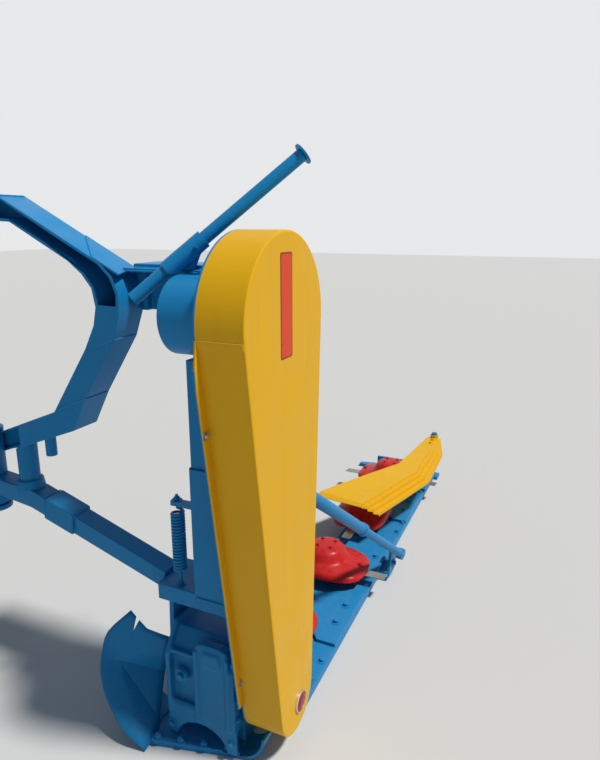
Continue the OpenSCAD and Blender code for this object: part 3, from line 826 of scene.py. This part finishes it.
def make_disc(i):
    """Oval disc with its cap and bolts; every second one is turned by a quarter."""
    number = i + 1
    body = "rotor_%d" % number
    turn = Matrix.Rotation(math.pi / 2 * (i % 2), 4, "Z")
    move = Matrix.Translation(at(disc_x(i), DISC_Y, DISC_Z)) @ turn

    def place(r, a, z):
        return move @ Vector((r * math.cos(a), r * math.sin(a), z))
    angles = circle(DISC_SIDES)
    rings = [[place(r, a, z) for a in angles] for r, z in CAP]
    for share, z in SKIRT:
        rings.append([place(CAP_FOOT_R + (disc_reach(a) - CAP_FOOT_R) * share, a, z) for a in angles])
    bm = bmesh.new()
    add_rings(bm, rings)
    disc = add_piece("rotor_shell_%d" % number, bm, body, "red_paint")
    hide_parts("disc_%d" % number)
    bm = bmesh.new()
    for k in range(4):
        add_bolt(bm, place(CAP_SCREW_R, math.tau * (k + 0.5) / 4, CAP_SCREW_Z), UP, CAP_SCREW)
    for a in (math.pi, 0):
        add_bolt(bm, place(KNIFE_BOLT_R, a, KNIFE_BOLT_Z), UP, KNIFE_BOLT, 0.003)
    add_piece("rotor_bolts_%d" % number, bm, body, "red_paint", DARK_RED)


# Input shaft: radius and Y of its profile with the locking groove, from the shaft's middle
SHAFT_PROFILE = [(0.0165, -0.0755), (0.01745, -0.0735), (0.01745, 0.050), (0.0152, 0.0515),
                 (0.0152, 0.0585), (0.01745, 0.060), (0.01745, 0.0760), (0.0160, 0.0780)]
SPLINES = 6
SPLINE_STEPS = 8
VALLEY_STEPS = (3, 4, 5)
VALLEY_R = 0.0145
VALLEY_FROM = -0.070
COLLAR_Y = -0.118
COLLAR_R = 0.02345
COLLAR_L = 0.040


def make_input_shaft():
    """Six-splined stub shaft with its locking groove, and the collar that runs in the cup."""
    bm = bmesh.new()
    rings = []
    for radius, y in SHAFT_PROFILE:
        ring = []
        for k, a in enumerate(circle(SPLINES * SPLINE_STEPS)):
            valley = k % SPLINE_STEPS in VALLEY_STEPS and y > VALLEY_FROM
            r = min(radius, VALLEY_R) if valley else radius
            ring.append((r * math.cos(a), y, r * math.sin(a)))
        rings.append(ring)
    add_rings(bm, rings)
    add_cylinder(bm, (0, COLLAR_Y, 0), FRONT, COLLAR_R, COLLAR_L, 40)
    shaft = add_piece("splined_shaft", bm, "input", "bare_steel")
    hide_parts("input_shaft")


# Crop shield: the point its folds fan out from, and its rim from the slit to the left and to the right
SHIELD_FOLD = (-0.1020, 0.5635, 0.1957)
SHIELD_LEFT = [(-0.0555, 0.5410, 0.3487), (-0.0890, 0.6080, 0.2760), (-0.1141, 0.6157, 0.2161),
               (-0.1400, 0.6032, 0.1720), (-0.1667, 0.5703, 0.1322), (-0.1885, 0.5246, 0.0937),
               (-0.2023, 0.4701, 0.0521), (-0.1954, 0.4044, 0.0066)]
SHIELD_SLIT = [(-0.0544, 0.5223, 0.3308), (-0.0673, 0.5271, 0.2869), (-0.0539, 0.5121, 0.3208)]
SHIELD_RIGHT = [(-0.0520, 0.4859, 0.2975), (-0.0424, 0.4441, 0.2856), (-0.0344, 0.4107, 0.2770),
                (-0.0267, 0.4483, 0.1361), (-0.0791, 0.4282, 0.0713), (-0.1057, 0.4157, 0.0360),
                (-0.1325, 0.4024, 0.0193)]
# Points on the right that the two folds run to
SHIELD_FOLD_ENDS = (3, 5)
SHIELD_SHEET = 0.0035
SHIELD_STEPS = 7
SHIELD_SMOOTH = 85.0


def rounded(points, n):
    """A smooth line through the points, with n steps from each to the next."""
    line = []
    for i in range(len(points) - 1):
        a, b = points[i], points[i + 1]
        before = points[i - 1] if i else a * 2 - b
        after = points[i + 2] if i + 2 < len(points) else b * 2 - a
        for k in range(n):
            t = k / n
            square = (before * 2 - a * 5 + b * 4 - after) * t ** 2
            cube = (a * 3 - before - b * 3 + after) * t ** 3
            line.append(((a * 2) + (b - before) * t + square + cube) / 2)
    return line + [points[-1]]


def make_shield():
    """Swath shield in front of the gearbox: a curved sheet with two folds that fan out from one point."""
    fold = at(*SHIELD_FOLD)
    left = rounded([at(*p) for p in SHIELD_LEFT], 3)
    slit = [at(*p) for p in SHIELD_SLIT]
    right = [at(*p) for p in SHIELD_RIGHT]
    rim = left[::-1] + slit + right
    rim.append(rim[0])
    shares = [k / SHIELD_STEPS for k in range(1, SHIELD_STEPS + 1)]
    bm = bmesh.new()
    hub = bm.verts.new(fold)
    spokes = [[hub] + [bm.verts.new(fold.lerp(point, share)) for share in shares] for point in rim]
    for a, b in zip(spokes, spokes[1:]):
        bm.faces.new((hub, a[1], b[1]))
        for k in range(1, SHIELD_STEPS):
            bm.faces.new((a[k], a[k + 1], b[k + 1], b[k]))
    bmesh.ops.remove_doubles(bm, verts=bm.verts, dist=1e-5)
    folds = [(fold, right[k]) for k in SHIELD_FOLD_ENDS]
    shield = add_piece("swath_shield", bm, "bar", "blue_paint", creases=folds, smooth_below=SHIELD_SMOOTH)
    sheet = shield.modifiers.new("sheet", "SOLIDIFY")
    sheet.thickness = SHIELD_SHEET
    sheet.offset = 0
    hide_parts("crop_shield")


# Divider board: the axis it swings on in X and Y, and its edges from the free end to the axis
SWING = (2.151, 0.060)
BOARD_Z = 0.250
BOARD_TOP_Z = BOARD_Z + 0.003
BOARD_REAR = [(-1.050, 0.026), (-0.830, -0.038), (-0.610, -0.100), (-0.230, -0.095), (-0.010, -0.040)]
BOARD_FRONT = [(-0.985, 0.345), (-0.730, 0.218), (-0.490, 0.090), (-0.230, 0.062), (-0.010, 0.040)]
BOARD_SHEET = 0.0022
BOARD_COLS = 24
BOARD_ROWS = 6
# Stepped folds: distance in from the rear edge, and height over the board
BOARD_STEPS = [(0.0, -0.030), (0.0004, -0.021), (0.029, -0.0235), (0.0294, -0.0125), (0.058, -0.015),
               (0.0584, -0.0035), (0.087, -0.006), (0.0874, 0.0015), (0.0885, 0.0)]
BOARD_FLAT_FROM = 0.09
# The folds are narrower where the board is narrower than this
BOARD_FULL_W = 0.20
FRONT_LIP = 0.015
END_LIP = (-0.030, 0.004, -0.014)
SLEEVE_PROFILE = [(0.0165, 0.230), (0.024, 0.230), (0.024, 0.270), (0.0165, 0.270), (0.0165, 0.230)]
CLAMP_BOLTS_X = (-0.055, -0.110)


def along(points, t):
    """A point at share t of the way along a list of points."""
    k = min(int(t * (len(points) - 1)), len(points) - 2)
    return Vector(points[k]).lerp(Vector(points[k + 1]), t * (len(points) - 1) - k)


def make_board():
    """Folded sheet that turns the swath: stepped folds along its rear edge and a lip at its free end."""
    def place(p, lift):
        return at(SWING[0] + p.x, SWING[1] + p.y, BOARD_TOP_Z + lift)

    def around(u, v, z):
        return at(SWING[0] + u, SWING[1] + v, z)
    rows = []
    for j in range(BOARD_COLS + 1):
        t = j / BOARD_COLS
        rear = along(BOARD_REAR, t)
        front = along(BOARD_FRONT, t)
        across = front - rear
        span = across.length
        narrow = min(1.0, span / BOARD_FULL_W)
        # The folds fade out towards the axis
        height = min(1.0, 2.4 * (1 - t) + 0.1)
        row = []
        for inward, lift in BOARD_STEPS:
            row.append(place(rear + across * (inward * narrow / span), lift * height))
        begin = BOARD_FLAT_FROM * narrow / span
        for k in range(1, BOARD_ROWS + 1):
            row.append(place(rear + across * (begin + (1 - begin) * k / BOARD_ROWS), 0))
        row.append(place(front + across * 0.001, -FRONT_LIP))
        rows.append(row)
    bm = bmesh.new()
    add_grid(bm, rows, (0, 0, -BOARD_SHEET))
    # Free end's lip, folded down at a slant
    end = rows[0]
    last = len(end) - 1
    lip = [p + Vector(END_LIP) * min(1.0, 0.25 + 0.75 * i / last) for i, p in enumerate(end)]
    add_grid(bm, [end, lip], (0, 0, -BOARD_SHEET))
    board = add_piece("swath_board", bm, "divider", "yellow_paint")
    # Sleeve on the axis, and its clamp bolts
    bm = bmesh.new()
    add_rings(bm, turned(SLEEVE_PROFILE, around, 40), ends=False)
    bmesh.ops.remove_doubles(bm, verts=bm.verts, dist=TOUCH)
    for x in CLAMP_BOLTS_X:
        add_bolt(bm, around(x, 0, BOARD_TOP_Z), UP, 0.014)
    sleeve = add_piece("board_sleeve", bm, "divider", "yellow_paint")
    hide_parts("divider_board")
    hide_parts("divider_board")


# Seams round the bent arm, each by its place on the outer and the inner edge, in Y and Z
ARM_SEAM_HIGH = ARM_MOUTH[1]
ARM_SEAM_MIDDLE = ((0.513, 1.200), (0.611, 1.158))
ARM_SEAM_ELBOW = ((0.632, 1.020), (0.757, 0.965))
# Lower beam's sleeve: Y, and its lower and upper Z, at both ends
BEAM_SLEEVE_X = (-0.057, 0.017)
BEAM_SLEEVE_ENDS = ((0.745, 0.560, 0.630), (0.857, 0.592, 0.664))
# Upright box: corners in X and Y, and the two heights of its seams with their sizes
BOX_CORNERS = ((-0.104, 0.128), (-0.104, 0.266), (0.060, 0.266))
BOX_SEAMS = ((0.501, 0.0050), (0.881, 0.0036))


def arm_seam(outer, inner):
    """Corners of a seam round the bent arm, which starts and ends on its inboard side."""
    corners = [(ARM_X[0], outer), (ARM_X[1], outer), (ARM_X[1], inner), (ARM_X[0], inner)]
    return [at(x, *yz) for x, yz in corners]


def make_frame_welds():
    bm = bmesh.new()
    # Across the bent arm where its plates meet, round its open side
    add_seams(bm, arm_seam(*ARM_SEAM_HIGH), 0.0030)
    add_weld(bm, [slope(-0.067, 0.565, 0.001), slope(0.027, 0.668, 0.001)], 0.0032)
    middle = arm_seam(*ARM_SEAM_MIDDLE)
    add_seams(bm, middle[-1:] + middle[:2], 0.0026)
    elbow = arm_seam(*ARM_SEAM_ELBOW)
    add_seams(bm, elbow + elbow[:1], 0.0028)
    # Stub pipe on the lower beam, and the beam's sleeve
    add_ring_weld(bm, at(-0.020, 0.945, 0.704), UP, 0.033, 0.0034)
    x0, x1 = BEAM_SLEEVE_X
    for y, z0, z1 in BEAM_SLEEVE_ENDS:
        add_seams(bm, [at(x0, y, z0), at(x0, y - 0.004, z1), at(x1, y - 0.004, z1), at(x1, y, z0)], 0.0024)
    # Upright box on the fork's bridge, and its sleeve's upper rim
    for z, size in BOX_SEAMS:
        add_seams(bm, [at(x, y, z) for x, y in BOX_CORNERS], size)
    # Beam's end on the fork's bridge
    add_weld(bm, [at(-0.052, 0.405, 0.458), at(-0.052, 0.405, 0.500)], 0.006)
    # Cover plates on the head
    add_weld(bm, [at(-0.027, 0.262, 1.382), at(-0.027, 0.490, 1.382)], 0.0034)
    # Cup on the back plate
    add_ring_weld(bm, at(-0.055, 0.127, 1.280), FRONT, 0.101, 0.004, 64)
    # Web of the leg's socket
    add_weld(bm, [at(-0.013, 0.278, 1.391), at(-0.013, 0.316, 1.391)], 0.004)
    add_piece("frame_welds", bm, "frame", "blue_paint")


# Hitch: the ears' edges on the post, the legs' feet on the lower bar, the clevis plates on the mast
EAR_ZS = (1.478, 1.494, 1.620, 1.636, 0.568, 0.584, 0.836, 0.852)
EAR_X = (-0.100, 0.020)
EAR_Y = 1.318
FOOT_XS = (-0.7225, -0.6325, -0.1525, -0.0625)
LEG_FOOT_Y = (1.322, 1.398)
LEG_FOOT_Z = 0.661
CLEVIS_XS = (-0.4345, -0.3505)
CLEVIS_Y = 1.401
CLEVIS_Z = (1.152, 1.268)
HITCH_WELD = 0.0045


def make_hitch_welds():
    bm = bmesh.new()
    for z in EAR_ZS:
        add_weld(bm, [at(x, EAR_Y, z) for x in EAR_X], HITCH_WELD)
    for x in FOOT_XS:
        add_weld(bm, [at(x, y, LEG_FOOT_Z) for y in LEG_FOOT_Y], HITCH_WELD)
    for x in CLEVIS_XS:
        add_weld(bm, [at(x, CLEVIS_Y, z) for z in CLEVIS_Z], HITCH_WELD)
    add_piece("hitch_welds", bm, "hitch", "blue_paint")


BAR_WELD = 0.004
STAY_EAR_XS = (0.943, 1.063)


def make_bar_welds():
    bm = bmesh.new()
    for x in STAY_EAR_XS:
        add_weld(bm, [at(x, -0.006, 0.022), at(x, 0.033, 0.022)], BAR_WELD)
    for i in range(DISCS):
        add_ring_weld(bm, at(disc_x(i), DISC_Y, 0.049), UP, 0.063, BAR_WELD, 48)
    add_weld(bm, [at(-0.171, 0.424, 0.021), at(-0.012, 0.424, 0.021)], BAR_WELD)
    add_ring_weld(bm, at(*SWING, 0.021), UP, 0.0175, BAR_WELD)
    add_piece("bar_welds", bm, "bar", "blue_paint")


# Bolts on the cutterbar: two rows along its edges, and four on each saddle
EDGE_BOLTS = 20
EDGE_BOLT_X0 = 0.120
EDGE_BOLT_PITCH = 0.098
EDGE_BOLT_YS = (0.052, 0.285)
BAR_TOP = 0.048
SADDLE_BOLT_DX = (-0.055, 0.055)
SADDLE_BOLT_YS = (0.075, 0.215)
SADDLE_TOP = 0.062
# Skid's row: its first bolt and the step to the next, in X and Y
SKID_BOLT = (-0.152, 0.390)
SKID_STEP = (0.017, -0.070)
SKID_TOP = 0.020
GEAR_BOLT_ZS = (0.140, 0.205, 0.270)
FOOT_BOLT_YS = (0.157, 0.357)
SHOE_BOLT_YS = (0.100, 0.220, 0.340)


def make_bar_bolts():
    bm = bmesh.new()
    for i in range(4):
        x, y = (start + step * i for start, step in zip(SKID_BOLT, SKID_STEP))
        add_bolt(bm, at(x, y, SKID_TOP), UP, 0.019, 0.006)
    # Gearbox: its rear flange, the filler plug and the foot
    for z in GEAR_BOLT_ZS:
        add_bolt(bm, at(-0.106, GEAR_Y[0], z), REAR, 0.013)
    add_bolt(bm, at(PLUG[0] - PLUG_BOSS_L, *PLUG[1:]), INBOARD, 0.019)
    for y in FOOT_BOLT_YS:
        add_bolt(bm, at(FOOT_X[0], y, 0.060), INBOARD, 0.015)
    for i in range(EDGE_BOLTS):
        for y in EDGE_BOLT_YS:
            add_bolt(bm, at(EDGE_BOLT_X0 + EDGE_BOLT_PITCH * i, y, BAR_TOP), UP, 0.016)
    for i in range(DISCS - 1):
        for dx in SADDLE_BOLT_DX:
            for y in SADDLE_BOLT_YS:
                add_bolt(bm, at(disc_x(i + 0.5) + dx, y, SADDLE_TOP), UP, 0.018)
    # Stay's eye and the outer shoe
    add_bolt(bm, at(1.003, -0.008, 0.060), REAR, 0.018)
    for y in SHOE_BOLT_YS:
        add_bolt(bm, at(2.129, y, 0.060), OUTBOARD, 0.016)
    add_piece("bar_bolts", bm, "bar", "blue_paint")


# Bearing caps' bolts round the lifting axis
CAP_BOLT_R = 0.041
CAP_BOLT_Y = 0.404
# Back plate: its bolts' heights, and half its width at the lower round and how that grows upwards
PLATE_BOLT_ZS = (0.35, 0.60, 0.85, 1.10)
PLATE_BOLT_Y = 0.126
PLATE_HALF = 0.113
PLATE_GROWS = 0.0973
# Parking leg's pin: the socket's middle, the way up the leg, and how far along the pin sits
LEG_SOCKET = (-0.040, 0.290, 1.428)
LEG_WAY = (0.458, -0.628, 0.628)
LEG_PIN_ALONG = 0.035
LEG_PIN = (-0.036, 0.040)
LEG_PIN_R = 0.005
LEG_RING_R = 0.014
RING_WIRE = 0.0022
NIPPLE_PLACE = (-0.066, 1.120)
NIPPLE_ZS = (0.700, 1.556)
NIPPLE_BASE = 0.006


def add_wire_ring(bm, centre, normal, radius, n):
    add_sweep(bm, ring_points(centre, normal, radius, n), [RING_WIRE] * (n + 1), 6)


def make_frame_bolts():
    bm = bmesh.new()
    for k in range(4):
        a = math.radians(45 + 90 * k)
        x = GUARD_LOW[0] + CAP_BOLT_R * math.cos(a)
        z = GUARD_LOW[1] + CAP_BOLT_R * math.sin(a)
        add_bolt(bm, at(x, CAP_BOLT_Y, z), FRONT, 0.010)
    for z in PLATE_BOLT_ZS:
        half = PLATE_HALF + PLATE_GROWS * (z - GUARD_LOW[1])
        for side in (-1, 1):
            add_bolt(bm, at(guard_axis(z) + side * half, PLATE_BOLT_Y, z), FRONT, 0.013)
    # Leg's pin through its socket, with its ring
    leg = Vector(LEG_WAY).normalized()
    middle = at(*LEG_SOCKET) + leg * LEG_PIN_ALONG
    across = leg.cross(Vector(UP)).normalized()
    low, high = (middle + across * reach for reach in LEG_PIN)
    add_sweep(bm, [low, high], [LEG_PIN_R, LEG_PIN_R], 12)
    add_wire_ring(bm, low - Vector((0, 0, LEG_RING_R)), across, LEG_RING_R, 24)
    add_piece("frame_bolts", bm, "frame", "blue_paint")
    # Grease nipples on the hinge bushes
    bm = bmesh.new()
    for z in NIPPLE_ZS:
        base = at(*NIPPLE_PLACE, z)
        add_cylinder(bm, base, INBOARD, NIPPLE_BASE, NIPPLE_BASE, 6)
        add_cylinder(bm, base + Vector(INBOARD) * NIPPLE_BASE, INBOARD, 0.0034, 0.009, 12, 0.0024)
    add_piece("grease_nipples", bm, "frame", "bare_steel", ZINC)


# Linch pins: the lower hitch pins' shoulders in X with their directions, and the pins' Y and Z
HITCH_PINS = ((-0.805, -1), (0.020, 1))
HITCH_PIN_YZ = (1.360, 0.620)
LINCH_REACH = 0.072
LINCH_PIN_Z = (0.024, -0.026)
LINCH_PIN_R = 0.0045
LINCH_RING_R = 0.022


def make_hitch_trim():
    """Linch pins with their rings, in the lower hitch pins."""
    bm = bmesh.new()
    for x, side in HITCH_PINS:
        spot = at(x + side * LINCH_REACH, *HITCH_PIN_YZ)
        add_sweep(bm, [spot + Vector((0, 0, z)) for z in LINCH_PIN_Z], [LINCH_PIN_R, LINCH_PIN_R], 12)
        add_wire_ring(bm, spot + Vector((0, 0.022, 0.026)), OUTBOARD, LINCH_RING_R, 28)
    add_piece("linch_pins", bm, "hitch", "bare_steel", ZINC)


# Nodes whose own form is kept, by the width of their softened edges
SOFTENED = {
    0.0030: ["hitch_frame", "hinge_post", "column", "top_beam", "lower_beam", "pivot_fork"],
    0.0008: ["inner_shoe"],
    0.0020: ["hinge_ears", "hinge_bushes", "top_clevis", "hitch_pins", "stay_lug", "leg_socket",
             "parking_leg", "beam_post", "cutterbar", "saddles", "outer_shoe", "divider_post",
             "stay_bracket", "stay_tube", "hinge_pins", "pivot_journals"],
    0.0012: ["back_plate", "input_cup", "disc_hubs"],
    0.0007: ["knives_1", "knives_2", "knives_3", "knives_4"],
}


def dress_nodes():
    for node, obj in NODES.items():
        obj.data.materials.clear()
        obj.data.materials.append(FINISH[SLOT_OF[node]])
    for width, names in SOFTENED.items():
        for node in names:
            soften(node, width)


# Stay: from its pin on the upright box to its eye on the bar
STAY = ((0.178, 0.070, 0.740), (1.003, -0.040, 0.111))
ROD_EDGE = 0.0016
ROD_PLAY = 0.0004
# The rod's round part begins this far from the eye, and its skin lies further out than this
EYE_REACH = 0.035
ROD_CORE_R = 0.012


def make_stay_rod():
    """The stay's rod with a little play in its tube."""
    rod = soften("stay_rod", ROD_EDGE)
    upper, eye = (at(*p) for p in STAY)
    axis = (eye - upper).normalized()
    for v in rod.data.vertices:
        foot = upper + axis * (v.co - upper).dot(axis)
        out = v.co - foot
        if (eye - foot).dot(axis) > EYE_REACH and out.length > ROD_CORE_R:
            v.co = foot + out * (1 - ROD_PLAY / out.length)


# Floor, world and sun
FLOOR_SIZE = 60
FLOOR_COLOUR = (0.60, 0.595, 0.585)
SKY_LIGHT = (0.68, 0.82, 1.0)
SKY_STRENGTH = 0.20
BACKDROP = (0.80, 0.81, 0.82)
SUN_FROM = (0.0, -2.9, 5.0)
SUN_STRENGTH = 3.4
SUN_COLOUR = (1.0, 0.98, 0.94)
SUN_WIDTH = 6.0


def make_stage():
    bpy.ops.mesh.primitive_plane_add(size=FLOOR_SIZE, location=(0, 0, GROUND))
    floor = bpy.context.object
    floor.name = "floor"
    mat, bsdf = new_material("floor")
    feed(bsdf, {"Base Color": FLOOR_COLOUR, "Roughness": 0.9})
    floor.data.materials.append(mat)
    world = bpy.data.worlds.new("world")
    bpy.context.scene.world = world
    world.use_nodes = True
    nodes = world.node_tree.nodes
    light = nodes["Background"]
    feed(light, {"Color": SKY_LIGHT, "Strength": SKY_STRENGTH})
    # The camera, glossy and clear surfaces see a plain pale backdrop
    seen = add_node(light, "Background")
    feed(seen, {"Color": BACKDROP, "Strength": 1.0})
    rays = add_node(light, "LightPath").outputs
    mirrored = maths("MAXIMUM", rays["Is Glossy Ray"], rays["Is Transmission Ray"])
    both = add_node(light, "MixShader")
    feed(both, {0: maths("MAXIMUM", rays["Is Camera Ray"], mirrored), 1: light.outputs[0],
                2: seen.outputs[0]})
    feed(nodes["World Output"], {"Surface": both.outputs[0]})


def make_sun():
    data = bpy.data.lights.new("sun", "SUN")
    data.energy = SUN_STRENGTH
    data.color = SUN_COLOUR
    data.angle = math.radians(SUN_WIDTH)
    sun = new_object("sun", data)
    sun.location = SUN_FROM
    sun.rotation_euler = (-Vector(SUN_FROM)).to_track_quat("-Z", "Y").to_euler()


make_camera()
dress_nodes()
make_arm()
make_arm_plate()
make_guard()
make_guard_trim()
make_strip()
make_reflector()
make_spring()
make_stay_rod()
make_gearbox()
for index in range(DISCS):
    make_disc(index)
make_input_shaft()
make_shield()
make_board()
make_frame_welds()
make_hitch_welds()
make_bar_welds()
make_bar_bolts()
make_frame_bolts()
make_hitch_trim()
make_stage()
make_sun()
bpy.context.scene.view_settings.view_transform = "Standard"
